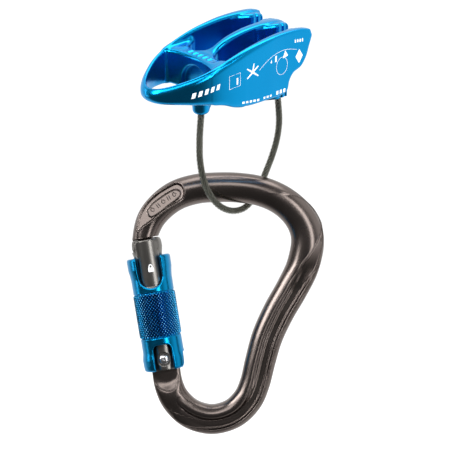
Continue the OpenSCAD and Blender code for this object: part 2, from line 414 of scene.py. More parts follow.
# Colour from dark to light, roughness, then grain and coat
FINE = 5200.0
WIRE_GRAIN = 2500.0
TURNED_GRAIN = 1500.0
BLUE = metal("blue_anodised", (0.0, 0.34, 0.76), (0.0, 0.37, 0.81), (0.22, 0.27), 0.04, FINE, 0.12, 0.16)
SLEEVE_BLUE = metal("sleeve_blue", (0, 0.26, 0.54), (0, 0.285, 0.60), (0.20, 0.26), 0.04, FINE, 0.08, 0.14)
# Painted highlight: a light blue laid on the knurl's tips
PAINTED_HIGHLIGHT_BLUE = metal("painted_highlight_blue", (0.20, 0.62, 0.95), (0.25, 0.68, 0.98), (0.22, 0.30), 0.03, FINE)
# Painted shade: a near-black blue laid in the knurl's grooves
PAINTED_SHADE_BLUE = metal("painted_shade_blue", (0.0, 0.07, 0.15), (0.0, 0.09, 0.19), (0.35, 0.45), 0.04, FINE)
GUNMETAL = metal("gunmetal", (0.168, 0.139, 0.127), (0.200, 0.167, 0.153), (0.23, 0.28), 0.03, FINE)
GATE_GREY = metal("gate_grey", (0.21, 0.20, 0.185), (0.25, 0.24, 0.225), (0.27, 0.34), 0.04, FINE, 0.15, 0.25)
STEEL = metal("bright_steel", (0.62, 0.62, 0.63), (0.72, 0.72, 0.73), (0.20, 0.28), 0.03, FINE)
SPRING_STEEL = metal("spring_steel", (0.42, 0.42, 0.43), (0.52, 0.52, 0.53), (0.2, 0.3), 0.05, FINE)
WIRE = metal("wire_rope", (0.13, 0.13, 0.105), (0.22, 0.22, 0.185), (0.32, 0.5), 0.08, WIRE_GRAIN)
BRONZE = metal("bronze", (0.48, 0.32, 0.15), (0.58, 0.40, 0.20), (0.22, 0.32), 0.04, TURNED_GRAIN)
COAT = clear_coat()
PRINT = white_print()


def finish_piece(piece, body, material, slot, *nodes):
    """Gives a piece its material and its body, and hides the CAD nodes that it stands for; the slot is not
    used.
    """
    piece.data.materials.append(material)
    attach(piece, body)
    if nodes:
        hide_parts(*nodes)
    return piece


# ---------------- keeper cable
CABLE_D = 3.2
CORE_D = 2.6
LAY = 11.0
OUTER_STRANDS = 6
STRAND_FILL = 1.04
CABLE_SPACING = 0.5
COAT_SIDES = 24
STRAND_SIDES = 8
CABLE_ROUTE = [
    [16.3, 0, -17.8], [15.8, 0, -23], [15.4, 0, -29], [15.5, 0, -37], [17, 0, -45.5], [20.2, 0, -53.6],
    [25.4, 0, -60.6], [32.2, 0.4, -65.2], [39.6, 1.4, -66.8], [46, 2.8, -65], [50.8, 3.8, -60.8],
    [54, 3.8, -55], [56.2, 2.6, -48], [57.4, 1, -40], [57.6, 0, -32], [57, 0, -24], [55.8, 0, -16],
    [54.5, 0, -8.5],
]


def even(path, spacing):
    """The same path with evenly spaced points."""
    gaps = np.linalg.norm(np.diff(path, axis=0), axis=1)
    along = np.concatenate([[0], np.cumsum(gaps)])
    n = int(round(along[-1] / spacing))
    at = np.linspace(0, along[-1], n + 1)
    return np.stack([np.interp(at, along, column) for column in path.T], axis=1), at


def build_cable():
    """A straight strand with six more wound round it, inside a clear coat."""
    path, along = even(smooth(CABLE_ROUTE, 12), CABLE_SPACING)
    coat_points, side, up = tube(path, CABLE_D / 2, COAT_SIDES)
    coat = make_mesh("cable_coat", coat_points, ring_faces(len(path), COAT_SIDES), DEVICE)
    finish_piece(coat, "keeper_loop", COAT, "clear_coat", "cable_jacket")
    strand_r = CORE_D / 6
    lines = [path]
    for strand in range(1, OUTER_STRANDS + 1):
        angle = (2 * math.pi * (along / LAY + strand / OUTER_STRANDS))[:, None]
        lines.append(path + 2 * strand_r * (np.cos(angle) * side + np.sin(angle) * up))
    strand_faces = ring_faces(len(path), STRAND_SIDES)
    strands = [(tube(line, strand_r * STRAND_FILL, STRAND_SIDES)[0], strand_faces) for line in lines]
    wire = make_mesh("cable_strands", *joined(strands), DEVICE)
    finish_piece(wire, "keeper_loop", WIRE, "wire_rope", "cable_core")


build_cable()

# ---------------- belay device
# Side outlines as (along, up), plan outline as (along, across)
RIM = [[-12.6, -1.6], [-6, 1.0], [6, 5.5], [22, 10.7], [35, 13.2], [45, 14.0], [54, 13.7], [58.6, 12.6]]
KEEL = [[59.6, 10], [58, 5.5], [56.6, 1.6], [54, -1.8], [50, -3.6], [48, -6.4], [47, -10], [44, -11.5],
        [36, -11.8], [27, -11.9], [20, -10.8], [13, -8.3], [0, -6.6], [-9, -6.1], [-12.6, -4.7]]
MID_RIM = [[9, 7.3], [18, 7.3], [22, 8.0], [28, 10.7], [36, 13.1], [45, 14.5], [54, 14.8], [58.6, 13.6]]
HALF_PLAN = [[-10.8, 0], [-10.2, 3], [-8.5, 6.1], [-5.2, 9.4], [-1.4, 12.1], [3, 14.6], [8.5, 16.5],
             [15, 17.5], [24, 17.9], [36, 17.6], [48, 17], [80, 16.8]]
SIDE_OUTLINE = np.vstack([smooth(RIM, 6), smooth(KEEL, 6)])
HALF_PLAN = smooth(HALF_PLAN, 6)
PLAN_OUTLINE = np.vstack([HALF_PLAN, HALF_PLAN[::-1] * [1, -1]])
MID_RIM = smooth(MID_RIM, 4)
NOSE_WALL = 2.2
PLATE_WALL = 3.4
NOSE_EDGE_R = 2.3
TAIL_EDGE_R = 0.8
BRIDGE_FRONT_X = 10.8
BRIDGE_BOW = 2.4
BRIDGE_HALF = 13.4
BRIDGE_X = 15.8
RIB_PITCH = 3.0
SLOT_Y = 7.8
SLOT_HALF = 5.8
SLOT_X0 = 18.5
SLOT_X1 = 50.5
WEB_HALF = 15.5
FLUTES_X = (53.9, 56.3)
FLUTE_R = 0.55
GROOVE_NARROWING = 3.0
END_BAR_Z = 4.5
TAIL_X = 57.8
ARCH_R = 8
ARCH_Z = -5
FRONT_BOSS = (16.3, -17.3)
REAR_BOSS = (54.5, -8)
BOSS_R = 3.3
BOSS_L = 12
BOSS_BORE_R = 2.0
BOSS_BORE_L = 7


def device_walls(x, z, side, plan):
    """The plates and the nose: one rounded wall that is open above and below."""
    wall = NOSE_WALL + (PLATE_WALL - NOSE_WALL) * step(x, 0, 40)
    draft = 0.03 * np.clip(4 - z, 0, 12) * (1 - step(x, 4, 14))
    edge_r = NOSE_EDGE_R + (TAIL_EDGE_R - NOSE_EDGE_R) * step(x, 20, 52)
    outer = round_and(side, plan, edge_r)
    return round_and(outer, -(plan + wall + draft), 1.15)


def slot_distance(x, y, sign):
    """Distance to one rope slot, which has a round front end and runs out at the tail."""
    middle = np.clip(x, SLOT_X0 + SLOT_HALF, SLOT_X1 + 20)
    return np.hypot(x - middle, y - sign * SLOT_Y) - SLOT_HALF


def above_middle_wall(x, z):
    """Height above the middle wall's rim."""
    return z - np.interp(x, MID_RIM[:, 0], MID_RIM[:, 1])


def bridge_and_middle_wall(x, y, z, side):
    """The cross bridge, whose top is a shallow channel, and the wall between the slots."""
    front = BRIDGE_FRONT_X + BRIDGE_BOW * (1 - (y / BRIDGE_HALF) ** 2)
    slots = np.minimum(slot_distance(x, y, 1), slot_distance(x, y, -1))
    shape = within(front - x, -slots, np.minimum(x - 24, np.abs(y) - SLOT_Y), x - TAIL_X)
    channel = 0.45 * (1 - step(np.abs(x - BRIDGE_X), 1.2, 3.2)) * (1 - step(np.abs(y), 9, 11))
    ribs = 0.5 * step(np.cos(2 * math.pi * y / RIB_PITCH), -0.1, 0.6)
    ribs = ribs * (1 - step(np.abs(y), 7.0, 7.8)) * (1 - step(np.abs(x - BRIDGE_X - 0.1), 1.0, 1.7))
    solid = round_and(shape, above_middle_wall(x, z) + channel - ribs, 1.7)
    return round_and(solid, side + 0.6, 1.0)


def tail_pads(x, y, z, side):
    """The walls' thick ends, whose faces sweep in to the friction grooves and carry two upright flutes."""
    gap = SLOT_HALF - GROOVE_NARROWING * step(x, 43.5, 52.5)
    flutes = sum(FLUTE_R * np.exp(-((x - at) / FLUTE_R) ** 2) for at in FLUTES_X)
    face = gap + flutes - np.abs(np.abs(y) - SLOT_Y)
    above = np.where(np.abs(y) > SLOT_Y, side + 0.8, above_middle_wall(x, z) + 1.9)
    solid = round_and(np.maximum(face, 43 - x), above, 1.4)
    solid = np.maximum(solid, np.abs(y) - WEB_HALF)
    return round_and(solid, x - TAIL_X, 1.0)


def end_bar(x, y, z, side):
    """The low bar that joins the walls' ends."""
    bar = round_and(np.maximum(SLOT_X1 - x, x - TAIL_X), z - END_BAR_Z, 1.2)
    return round_and(np.maximum(bar, np.abs(y) - WEB_HALF), side + 0.4, 1.0)


def arch(x, y, z):
    """The round-topped opening through the front of the bridge."""
    opening = np.hypot(y, np.maximum(z - ARCH_Z, 0)) - ARCH_R
    return within(opening, x - 14.9, 9 - x)


def boss_ramp(x, y, z):
    """The web that rises from the front boss towards the tail."""
    low = FRONT_BOSS[1] + 1.2 + (x - FRONT_BOSS[0]) * 0.62
    return within(np.abs(y) - 2.4, low - z, FRONT_BOSS[0] - x, x - 27, z + 6)


def boss(x, y, z, at):
    """A slightly tapered stub under the device that holds one end of the cable."""
    round_part = np.hypot(x - at[0], y) - BOSS_R - 0.08 * np.clip(z - at[1], 0, 8)
    return np.maximum(round_and(round_part, at[1] - z, 1.6), z - at[1] - BOSS_L)


def device_field(x, y, z):
    """The whole device as one forging."""
    side = outline_distance(x[:, 0, :], z[0, :, :], SIDE_OUTLINE)[:, None, :]
    plan = outline_distance(x[:, :, 0], y[0, :, :].T, PLAN_OUTLINE)[:, :, None]
    solid = device_walls(x, z, side, plan)
    solid = round_or(solid, np.maximum(bridge_and_middle_wall(x, y, z, side), plan + 1.0), 1.3)
    solid = round_or(solid, tail_pads(x, y, z, side), 0.8)
    solid = round_or(solid, end_bar(x, y, z, side), 1.0)
    solid = round_and(solid, -arch(x, y, z), 0.7)
    solid = round_or(solid, boss_ramp(x, y, z), 0.8)
    for at in (FRONT_BOSS, REAR_BOSS):
        solid = round_or(solid, boss(x, y, z, at), 0.9)
        bore = np.maximum(np.hypot(x - at[0], y) - BOSS_BORE_R, z - at[1] - BOSS_BORE_L)
        solid = round_and(solid, -bore, 0.3)
    return solid


def build_device():
    """The blue device body."""
    cell = 0.36
    shell = carved("device_shell", device_field, (-14, -18, -19), (61, 18, 15.4), cell, DEVICE)
    finish_piece(shell, "device", BLUE, "blue_anodised", "device_body")


build_device()


# Printed marks on the near plate, in place of lettering: all generic
PRINT_PROUD = 0.05
PRINT_SUNK = 0.15
THIN_LINE = 0.12


def on_plate(points, lift):
    """Points (along, up) laid on the near plate's outer face."""
    out = np.interp(points[:, 0], HALF_PLAN[:, 0], HALF_PLAN[:, 1]) + lift
    return np.stack([points[:, 0], -out, points[:, 1]], axis=1)


def patch(outline, surface, proud, sunk):
    """A thin closed patch with this outline, standing just proud of a surface."""
    n = len(outline)
    outline = np.vstack([outline, np.mean(outline, axis=0)])
    faces = []
    for k in range(n):
        j = (k + 1) % n
        faces.append([k, j, n])
        faces.append([n + 1 + j, n + 1 + k, 2 * n + 1])
        faces.append([j, k, n + 1 + k, n + 1 + j])
    return np.vstack([surface(outline, proud), surface(outline, -sunk)]), faces


def stroke(line, width):
    """The outline of a thin line, as one patch for each of its parts."""
    line = np.asarray(line, float)
    way = np.gradient(line, axis=0)
    way /= np.linalg.norm(way, axis=1)[:, None]
    off = np.stack([-way[:, 1], way[:, 0]], axis=1) * width / 2
    quads = []
    for i in range(len(line) - 1):
        quads.append([line[i] - off[i], line[i + 1] - off[i + 1], line[i + 1] + off[i + 1], line[i] + off[i]])
    return quads


def arc(middle, radius, start, end, parts):
    """Points on an arc of an ellipse, from one angle to another."""
    angle = np.radians(np.linspace(start, end, parts))
    return np.stack([middle[0] + radius[0] * np.cos(angle), middle[1] + radius[1] * np.sin(angle)], axis=1)


def row_of_bars(at, count, pitch, size, slant=0.0, lean=0.0, drop=0.0):
    """Upright bars in a row: slant tilts their ends, lean their sides, and drop lowers each a little more."""
    width, height = size
    bars = []
    for k in range(count):
        x = at[0] + pitch * k
        z = at[1] - drop * k
        bars.append([[x, z], [x + width, z + slant], [x + width + lean, z + slant + height],
                     [x + lean, z + height]])
    return bars


def star(at, reach, half_width):
    """Five tapered arms round a middle, unevenly spaced."""
    arms = []
    for angle in np.radians((35, 80, 145, 215, 325)):
        arm = np.array([math.cos(angle), math.sin(angle)])
        w = np.array([-arm[1], arm[0]]) * half_width
        tip = at + reach * arm
        arms.append([at - w, tip - w * 0.7, tip + w * 0.7, at + w])
    return arms


def build_marks():
    """Bars, a square, a star, an arch, a ring and a rhombus on the near plate."""
    patches = row_of_bars((0.9, -3.4), 5, 2.35, (1.25, 2.12), 0.28, 0.5, -0.52)
    # An open square with a bar in it
    patches += stroke([[16.2, -2.2], [16.2, 3.0], [21.4, 3.6], [21.4, -1.6], [16.2, -2.2]], 0.14)
    patches.append([[19.6, -1.0], [20.3, -0.9], [20.3, 1.8], [19.6, 1.7]])
    patches += star(np.array([27.6, 2.2]), 3.5, 0.36)
    # A thin line that rises to a thin arch, and a ring under it
    patches += stroke(smooth([[31, 2.2], [36, 5.4], [41, 7.0], [46, 7.2], [51, 6.0]], 4), THIN_LINE)
    patches += stroke(arc((43.2, 1.0), (3.0, 3.6), 0, 360, 30), THIN_LINE)
    # Small solid marks under the arch
    patches.append([[36.9, 3.6], [37.7, 3.6], [37.5, 5.0]])
    patches.append([[39.4, 3.4], [40.3, 3.5], [40.3, 6.0], [39.5, 5.9]])
    patches.append([[43.6, 4.0], [46.4, 4.6], [44.9, 7.0]])
    patches.append([[50.5, 2.9], [52.4, 0.0], [54.3, 2.9], [52.4, 5.8]])
    # Dashes along the keel and at the tail
    patches += row_of_bars((22.4, -9.5), 5, 1.9, (1.15, 0.85), -0.1, drop=0.2)
    patches += row_of_bars((33.4, -10.3), 3, 1.7, (0.95, 0.85))
    patches += row_of_bars((40.4, -10.4), 3, 1.9, (1.1, 1.5), 0.1)
    patches += row_of_bars((49.9, 9.0), 4, 1.25, (0.65, 1.2), -0.1, drop=0.1)
    parts = [patch(outline, on_plate, PRINT_PROUD, PRINT_SUNK) for outline in patches]
    marks = make_mesh("plate_marks", *joined(parts), DEVICE)
    finish_piece(flat_shaded(marks), "device", PRINT, "blue_anodised")


build_marks()

# ---------------- carabiner frame
# The bar's middle line from the tang to the nose: across, up, the bar's width and its depth
FRAME_LINE = [
    [-26.0, -50.6, 11.6, 6], [-24.8, -58, 11.7, 6], [-23.4, -66.4, 12, 8], [-20.2, -73.2, 12.3, 10],
    [-14, -78.7, 12.5, 11], [-5.4, -80.9, 12.5, 11], [3.2, -78.6, 12.5, 11], [9.2, -73, 12.6, 11],
    [12.4, -66, 12.6, 11], [14.8, -56.3, 12.8, 11], [17.7, -46.3, 13, 11], [22.3, -36.3, 13.2, 11],
    [28, -26.3, 13.4, 11], [32.4, -17, 13.7, 11.4], [34.4, -7, 13.8, 12], [32.8, 0.2, 13.4, 12.2],
    [28.4, 6.4, 12.9, 12.4], [22, 11.2, 12.6, 12.5], [14, 14.3, 12.5, 12.5], [5, 15.6, 12.5, 12.5],
    [-4, 15.7, 12.5, 12.5], [-12, 15, 12.5, 12.5], [-20, 12.5, 12.5, 12.2], [-26.5, 7.9, 12.2, 12],
    [-31.2, 1.8, 11.6, 11.5], [-33.5, -6.4, 10.3, 10.8], [-32.9, -13.6, 10.2, 10.6],
]
LAST = len(FRAME_LINE) - 1
NOSE_WAY = [1.2, -7.4, 0, 0]
# Half sections from the inner side to the outer side: across the bar, then depth, as shares of the half sizes
ROUND = [[-math.cos(math.pi * k / 25), math.sin(math.pi * k / 25)] for k in range(26)]
SPINE = [
    [-1, 0], [-1.0, 0.22], [-0.98, 0.42], [-0.92, 0.60], [-0.80, 0.76], [-0.63, 0.885], [-0.46, 0.965],
    [-0.33, 0.97], [-0.25, 0.86], [-0.21, 0.68], [-0.15, 0.63], [-0.03, 0.62], [0.0, 0.58], [0.03, 0.46],
    [0.12, 0.42], [0.40, 0.42], [0.45, 0.48], [0.49, 0.65], [0.525, 0.64], [0.55, 0.46], [0.60, 0.46],
    [0.64, 0.66], [0.84, 0.54], [0.93, 0.40], [0.985, 0.22], [1, 0],
]
BOTTOM = [
    [-1, 0], [-1.0, 0.22], [-0.98, 0.43], [-0.92, 0.61], [-0.79, 0.78], [-0.61, 0.90], [-0.44, 0.97],
    [-0.30, 0.975], [-0.18, 0.91], [-0.09, 0.78], [-0.04, 0.66], [-0.01, 0.57], [0.02, 0.53], [0.08, 0.54],
    [0.20, 0.55], [0.42, 0.56], [0.46, 0.58], [0.50, 0.66], [0.535, 0.65], [0.56, 0.58], [0.60, 0.58],
    [0.64, 0.67], [0.70, 0.64], [0.85, 0.49], [0.96, 0.25], [1, 0],
]


def ellipse_height(t):
    """Depth of a round bar at a place across it, both as shares."""
    return math.sqrt(max(0.0, 1 - t * t))


def facet_section(crease, web, edge):
    """A round bar cut back outside a crease that lies at this place across the bar."""
    inner = [[-math.cos(a), math.sin(a)] for a in np.linspace(0, math.acos(-crease), 9)]
    e = ellipse_height(crease)
    cut = [[crease + 0.03, e - 0.05], [crease + 0.06, e - 0.12], [crease + 0.11, e - 0.15]]
    flat = np.linspace(crease + 0.16, edge - 0.05, 5)
    level = np.linspace(e - 0.16, web, 5)
    floor = [[a, b] for a, b in zip(flat, level)]
    groove = [[edge, web - 0.02], [edge + 0.015, web - 0.06], [edge + 0.03, web - 0.06],
              [edge + 0.045, web - 0.03]]
    outer = [[edge + 0.07, web - 0.05], [0.95, 0.27], [0.985, 0.15], [0.997, 0.07], [1, 0]]
    return inner + cut + floor + groove + outer


def shallow(section, share):
    """A section part of the way back to a round one."""
    plain = np.array([[t, ellipse_height(t)] for t, _ in section])
    return (np.array(section) * share + plain * (1 - share)).tolist()


def pushed_out(section, first, start, end):
    """The section with its points from first on squeezed towards the outer side."""
    made = []
    for k, (t, h) in enumerate(section):
        if k >= first:
            t = start + (t - section[first][0]) * (end - start) / (1 - section[first][0])
            h = min(h, ellipse_height(t) * 0.98)
        made.append([t, h])
    made[-1] = [1, 0]
    return made


def boxy(power):
    """A section between a round one, at power 2, and a square one."""
    made = []
    for t, h in ROUND:
        r = (abs(t) ** power + abs(h) ** power) ** (-1 / power)
        made.append([t * r, h * r])
    return made


# Where along the frame line each section stands
STATIONS = [
    (0.0, boxy(7)), (1.35, boxy(7)), (1.95, boxy(3.2)), (2.75, boxy(2.3)), (3.12, shallow(BOTTOM, 0.35)),
    (3.5, pushed_out(shallow(BOTTOM, 0.85), 16, 0.86, 1)), (4.1, pushed_out(BOTTOM, 16, 0.76, 1)),
    (5.0, BOTTOM), (6.6, BOTTOM), (8.3, SPINE), (12.0, SPINE),
    (12.95, facet_section(-0.22, 0.50, 0.70)), (13.67, facet_section(0.23, 0.50, 0.80)),
    (14.6, facet_section(0.86, 0.30, 0.94)), (14.95, shallow(facet_section(0.9, 0.28, 0.95), 0)),
    (18.0, ROUND), (LAST, ROUND),
]


def polar(section):
    """A section as angles and distances from its middle, so that two can be mixed."""
    s = np.asarray(section, float)
    return np.stack([np.arctan2(s[:, 1], -s[:, 0]), np.hypot(s[:, 0], s[:, 1])], axis=1)


def raw_section(u):
    """The half section between two stations; long stretches start and end gently."""
    for (a, first), (b, second) in zip(STATIONS, STATIONS[1:]):
        if u <= b:
            w = step(u, a, b) if b - a > 2 else (u - a) / (b - a)
            return polar(first) * (1 - w) + polar(second) * w
    return polar(STATIONS[-1][1])


def section_at(u):
    """The half section at a place along the frame line, evened out over about 2 mm."""
    return sum(raw_section(u + d) for d in (-0.12, -0.06, 0, 0.06, 0.12)) / 5


POCKET_FROM = 21.4
PLAIN_FROM = 15.2


def frame_path():
    """Places along the frame line, closer together where the detail is fine."""
    u = [0.0]
    while u[-1] < LAST:
        at = u[-1]
        fine = 0.24 if at > POCKET_FROM else 0.8 if at > PLAIN_FROM else 0.5
        i = min(int(at), LAST - 1)
        gap = math.dist(FRAME_LINE[i][:2], FRAME_LINE[i + 1][:2])
        u.append(at + fine / gap)
    u[-1] = LAST
    return np.array(u, float)


def on_frame_line(u):
    """Middle, width and depth, then the outward direction, at places along the line."""
    p = np.asarray(FRAME_LINE, float)
    p = np.vstack([p[0] * 2 - p[1], p, p[-1] + NOSE_WAY])
    i = np.minimum(u.astype(int), LAST - 1)
    t = (u - i)[:, None]
    at, way = curve_at(p[i], p[i + 1], p[i + 2], p[i + 3], t)
    way = way[:, :2] / np.linalg.norm(way[:, :2], axis=1)[:, None]
    out = np.stack([way[:, 1], -way[:, 0]], axis=1)
    return at, out


NOSE_Z = 50.8
NOSE_FROM = 23.5
POCKET = [[-36.2, -2.6], [-35.2, 3.4], [-32.4, 8.6], [-28, 12.9], [-23.4, 15.8], [-20.2, 17.2], [-18, 16.4],
          [-16.9, 13.8], [-17.6, 10.9], [-20, 9.2], [-23.6, 7.2], [-27.4, 4.4], [-30.4, 1.8], [-33.6, -0.4]]
PLATE = [[-32.4, 6.0], [-31.6, 3.9], [-29.9, 3.3], [-27, 5.0], [-24, 7.4], [-20.8, 9.8], [-18.6, 11.9],
         [-18.6, 13.9], [-20.6, 14.8], [-23.6, 13.5], [-27, 11.3], [-30.2, 8.8]]
POCKET_MIDDLE = (-25, 8.8)
POCKET_OUT = (-0.62, 0.78)
FLOOR_DEPTH = 4.0
FLOOR_SLOPE = 0.26
PLATE_STEP = 0.55
TANG_HALF = 3.0
LEDGE_AT = 1.62


def closed(outline):
    """A smooth closed curve through the points, without its last point twice."""
    return smooth(outline + outline[:1], 5)[:-1]


def sink_pocket(points):
    """Lowers the two faces near the nose to a slanted floor with a raised plate on it."""
    x, y, z = points[:, 0], points[:, 1], points[:, 2]
    pocket = outline_distance(x, z, closed(POCKET))
    plate = outline_distance(x, z, closed(PLATE))
    depth = np.abs(y)
    outward = (z - POCKET_MIDDLE[1]) * POCKET_OUT[1] + (x - POCKET_MIDDLE[0]) * POCKET_OUT[0]
    floor = FLOOR_DEPTH - FLOOR_SLOPE * outward + PLATE_STEP * step(-plate, -0.15, 0.35)
    sunk = np.minimum(depth, floor)
    share = step(-pocket, -0.15, 0.40)
    made = points.copy()
    made[:, 1] = np.sign(y) * (depth * (1 - share) + sunk * share)
    return made


def tang_depth(u, across):
    """Half depth of the frame's start: thin at the tang, then full past a curved ledge."""
    full = np.interp(u, [1.5, 2.0, 3.0], [8.6, 9.2, 10.0]) / 2
    ledge = LEDGE_AT + 0.42 * (1 - across ** 2)
    share = step(u, ledge - 0.30, ledge + 0.42)
    return TANG_HALF * (1 - share) + full * share


def half_ring(u):
    """The half section at a place as (across, depth) shares, finely divided."""
    half = smooth(section_at(u), 3)
    return -np.cos(half[:, 0]) * half[:, 1], np.sin(half[:, 0]) * half[:, 1]


def across_bar(at, out, shares):
    """(Across, up) places from shares of the bar's half width."""
    return at[..., :2] + out * (shares * at[..., 2] / 2)[..., None]


def end_at_nose(points, u, sides):
    """Ends the nose in a flat face just above the gate, and drops the rings past it."""
    axis = GATE[0][:, 2]
    up = (points - (RIVET_AT - CARABINER_AT)) @ axis
    low = np.repeat(u > NOSE_FROM, sides) & (up < NOSE_Z)
    points[low] += (NOSE_Z - up[low])[:, None] * axis
    flat = low.reshape(len(u), sides).all(axis=1)
    kept = int(np.argmax(flat)) + 1 if flat.any() else len(u)
    return points[:kept * sides], kept


def build_frame():
    """The forged frame; returns its surface, for the ridges to lie on."""
    u = frame_path()
    at, out = on_frame_line(u)
    rings = []
    for k in range(len(u)):
        across, height = half_ring(u[k])
        depth = tang_depth(u[k], across) if u[k] < 3 else at[k, 3] / 2
        y = height * depth
        y = np.concatenate([-y, y[-2:0:-1]])
        across = np.concatenate([across, across[-2:0:-1]])
        place = across_bar(at[k], out[k], across)
        rings.append(np.stack([place[:, 0], y, place[:, 1]], axis=1))
    sides = len(rings[0])
    points, kept = end_at_nose(sink_pocket(np.vstack(rings)), u, sides)
    faces = ring_faces(kept, sides)
    made = make_mesh("frame_forging", points, faces, CARABINER)
    finish_piece(made, "carabiner", GUNMETAL, "gunmetal", "frame")
    return BVHTree.FromPolygons(points.tolist(), faces)


FRAME_SKIN = build_frame()
RIDGE_SPACING = 0.45
RIDGE_SIDES = 8


def ridge(line, radius, ends=2.0, sink=0.35):
    """A thin rounded ridge laid along a line of (across, up) places on the frame's front face."""
    line, along = even(np.asarray(line, float), RIDGE_SPACING)
    hits = [FRAME_SKIN.ray_cast(Vector((x, -20, z)), Vector((0, 1, 0)))[0] for x, z in line]
    kept = [k for k, hit in enumerate(hits) if hit is not None]
    path = np.array([list(hits[k]) for k in kept])
    along = along[kept]
    depth = np.concatenate([[path[0, 1]] * 4, path[:, 1], [path[-1, 1]] * 4])
    path[:, 1] = np.convolve(depth, np.ones(9) / 9, "valid")
    taper = np.ones(len(path))
    if ends:
        taper = np.minimum(1, np.minimum(along - along[0], along[-1] - along) / ends)
    path[:, 1] += radius * (sink + (1.2 - sink) * (1 - taper))
    points = tube(path, radius * (0.4 + 0.6 * taper), RIDGE_SIDES)[0]
    return points, ring_faces(len(path), RIDGE_SIDES)


def moved_out(outline, distance):
    """A closed outline that goes anticlockwise or clockwise, moved outwards; its ends meet."""
    points = closed(outline)
    way = np.roll(points, -1, axis=0) - np.roll(points, 1, axis=0)
    way /= np.linalg.norm(way, axis=1)[:, None]
    area = np.sum(points[:, 0] * np.roll(points[:, 1], -1) - points[:, 1] * np.roll(points[:, 0], -1))
    out = np.stack([way[:, 1], -way[:, 0]], axis=1) * np.sign(area)
    points = points + out * distance
    return np.vstack([points, points[:1]])


def line_on(nodes):
    """(Across, up) places along a line of (place along the frame, share across the bar)."""
    nodes = smooth(nodes, 10)
    at, out = on_frame_line(nodes[:, 0])
    return across_bar(at, out, nodes[:, 1])


def plate_shapes():
    """Generic shapes for the raised plate in the pocket: diamonds and pairs of bars."""
    middle = smooth([[-30.6, 5.9], [-27.2, 8.4], [-23.8, 10.9], [-20.4, 13.0]], 8)
    lines = []
    for k in range(5):
        i = 2 + 5 * k
        way = middle[i + 1] - middle[i]
        way /= np.linalg.norm(way)
        over = np.array([-way[1], way[0]])
        if k % 2:
            for shift in (-0.45, 0.45):
                lines.append([middle[i] + way * shift - over, middle[i] + way * shift + over])
        else:
            turn = [(-0.8, 0), (0, -1.15), (0.8, 0), (0, 1.15), (-0.8, 0)]
            lines.append([middle[i] + way * a + over * b for a, b in turn])
    return lines


# Ridges as (place along the frame, share across the bar), with their radii
LONG_RIDGES = [
    (0.34, [[6.9, -0.12], [7.6, -0.18], [8.6, -0.21], [12, -0.21], [12.95, -0.19], [13.67, 0.25],
            [14.5, 0.86]]),
    (0.24, [[7.2, 0.02], [8.4, 0.01], [11.6, 0.01], [12.5, 0.04]]),
    (0.40, [[3.9, 0.86], [4.4, 0.66], [5, 0.52], [6.6, 0.51], [8.3, 0.50], [12, 0.50], [12.5, 0.58],
            [13.1, 0.84]]),
    (0.32, [[4.2, 0.92], [4.6, 0.78], [5.2, 0.68], [6.6, 0.66], [8.0, 0.64], [8.6, 0.62]]),
    (0.28, [[11.7, 0.86], [12.6, 0.88], [13.4, 0.93]]),
    (0.24, [[2.9, 0.86], [3.25, 0.62], [3.7, 0.36], [4.2, 0.16], [4.8, 0.07], [5.8, 0.05]]),
]
# Ridges by the tang as (across, up), with their radii
TANG_RIDGES = [
    (0.42, [[-29.6, -64.0], [-28.4, -66.2], [-26, -68.0], [-23.4, -68.7], [-21.2, -68.0], [-20.0, -66.4],
            [-19.8, -63.6], [-19.7, -60.6]]),
    (0.34, [[-20.0, -66.4], [-19.2, -68.6], [-17.0, -71.2], [-13.6, -73.6], [-9.6, -75.0]]),
]


def build_ridges():
    """The forging's fine ridges: along the spine and the bottom, at the tang, and round the pocket."""
    made = [ridge(line_on(nodes), radius) for radius, nodes in LONG_RIDGES]
    made += [ridge(smooth(nodes, 5), radius, 3.0) for radius, nodes in TANG_RIDGES]
    made.append(ridge(moved_out(POCKET, 0.42), 0.32, 0, 0.3))
    made.append(ridge(moved_out(PLATE, -0.35), 0.22, 0, 0.1))
    made += [ridge(shape, 0.20, 0, -0.1) for shape in plate_shapes()]
    parts = []
    for points, faces in made:
        parts += on_both_faces(points, faces)
    ridges = make_mesh("frame_ridges", *joined(parts), CARABINER)
    finish_piece(ridges, "carabiner", GUNMETAL, "gunmetal")


build_ridges()

TOOTH_PITCH = 0.62
TOOTH_PARTS = 4
TOOTH_H = 0.34
TOOTH_ROOT = 0.10
STRIP_ROOT = 0.4


def depth_at(u, across):
    """Half depth of the frame at a place along the line and across it."""
    at = on_frame_line(np.array([u]))[0]
    return np.interp(across, *half_ring(u)) * at[0, 3] / 2


